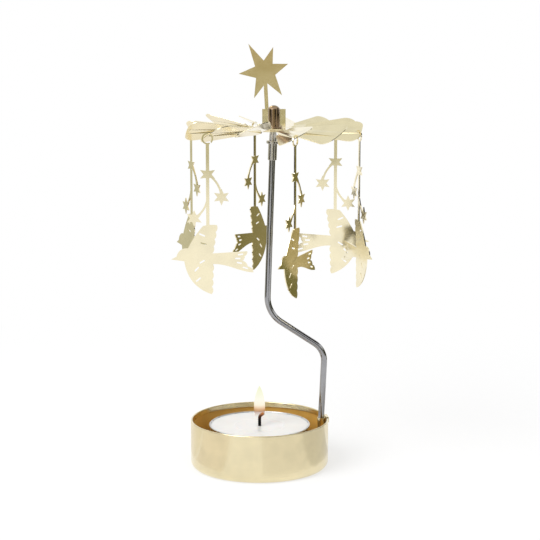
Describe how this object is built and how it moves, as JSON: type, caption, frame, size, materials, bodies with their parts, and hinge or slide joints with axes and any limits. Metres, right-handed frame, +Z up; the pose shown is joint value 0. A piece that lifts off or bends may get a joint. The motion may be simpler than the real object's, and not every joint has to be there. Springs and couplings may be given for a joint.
{
  "type": "rotary candle carousel",
  "caption": "Tealight carousel: a pitched fan on a needle turns in the candle's warm air and carries flat hanging birds round a bent mast that stands in the candle cup.",
  "frame": {"origin": "centre of the candle cup's flat underside", "axes": "+Z up, +X towards the rod's foot, -Y towards the star's front face"},
  "size_m": [0.0757, 0.088, 0.1614],
  "materials": {
    "cup_gold": "polished gold lacquer over drawn sheet",
    "sheet_gold": "polished gold plated sheet",
    "hanger_gold": "polished gold plated cut sheet",
    "hub_brass": "polished brass, browned dark",
    "polished_steel": "polished drawn rod",
    "tealight_foil": "bright drawn foil",
    "wax": "smooth cast paraffin",
    "wick": "charred cotton braid",
    "sustainer_tin": "tinned plate"
  },
  "bodies": {
    "stand": {"candle_cup": "cup_gold", "rod_socket": "cup_gold", "mast_rod": "polished_steel", "pivot_ferrule": "polished_steel", "pivot_needle": "polished_steel"},
    "rotor": {"rotor_fan": "sheet_gold", "hub_cap": "hub_brass", "star_finial": "sheet_gold"},
    "tealight": {"tealight_cup": "tealight_foil", "tealight_wax": "wax", "tealight_wick": "wick", "wick_sustainer": "sustainer_tin"},
    "bird_hanger_1": {"bird_hanger_1": "hanger_gold"},
    "bird_hanger_2": {"bird_hanger_2": "hanger_gold"},
    "bird_hanger_3": {"bird_hanger_3": "hanger_gold"},
    "bird_hanger_4": {"bird_hanger_4": "hanger_gold"},
    "bird_hanger_5": {"bird_hanger_5": "hanger_gold"},
    "bird_hanger_6": {"bird_hanger_6": "hanger_gold"}
  },
  "joints": [
    {"name": "rotor_spin", "type": "hinge", "parent": "stand", "child": "rotor", "pos_m": [0.0055, 0, 0.13768], "axis": [0, 0, 1], "continuous": true},
    {"name": "tealight_lift", "type": "slide", "parent": "stand", "child": "tealight", "axis": [0, 0, 1], "range_m": [0, 0.022]},
    {"name": "hanger_1_swing", "type": "hinge", "parent": "rotor", "child": "bird_hanger_1", "pos_m": [0.01297, -0.03211, 0.12815], "axis": [0.8918, -0.4524, 0], "range_deg": [-20, 20]},
    {"name": "hanger_2_swing", "type": "hinge", "parent": "rotor", "child": "bird_hanger_2", "pos_m": [0.03705, -0.00958, 0.12815], "axis": [0.9505, 0.3107, 0], "range_deg": [-20, 20]},
    {"name": "hanger_3_swing", "type": "hinge", "parent": "rotor", "child": "bird_hanger_3", "pos_m": [0.02957, 0.02253, 0.12815], "axis": [0.0332, 0.9995, 0], "range_deg": [-20, 20]},
    {"name": "hanger_4_swing", "type": "hinge", "parent": "rotor", "child": "bird_hanger_4", "pos_m": [-0.00197, 0.03211, 0.12815], "axis": [-0.849, 0.5284, 0], "range_deg": [-20, 20]},
    {"name": "hanger_5_swing", "type": "hinge", "parent": "rotor", "child": "bird_hanger_5", "pos_m": [-0.02605, 0.00958, 0.12815], "axis": [-0.8821, -0.471, 0], "range_deg": [-20, 20]},
    {"name": "hanger_6_swing", "type": "hinge", "parent": "rotor", "child": "bird_hanger_6", "pos_m": [-0.01857, -0.02253, 0.12815], "axis": [-0.0332, -0.9995, 0], "range_deg": [-20, 20]}
  ]
}
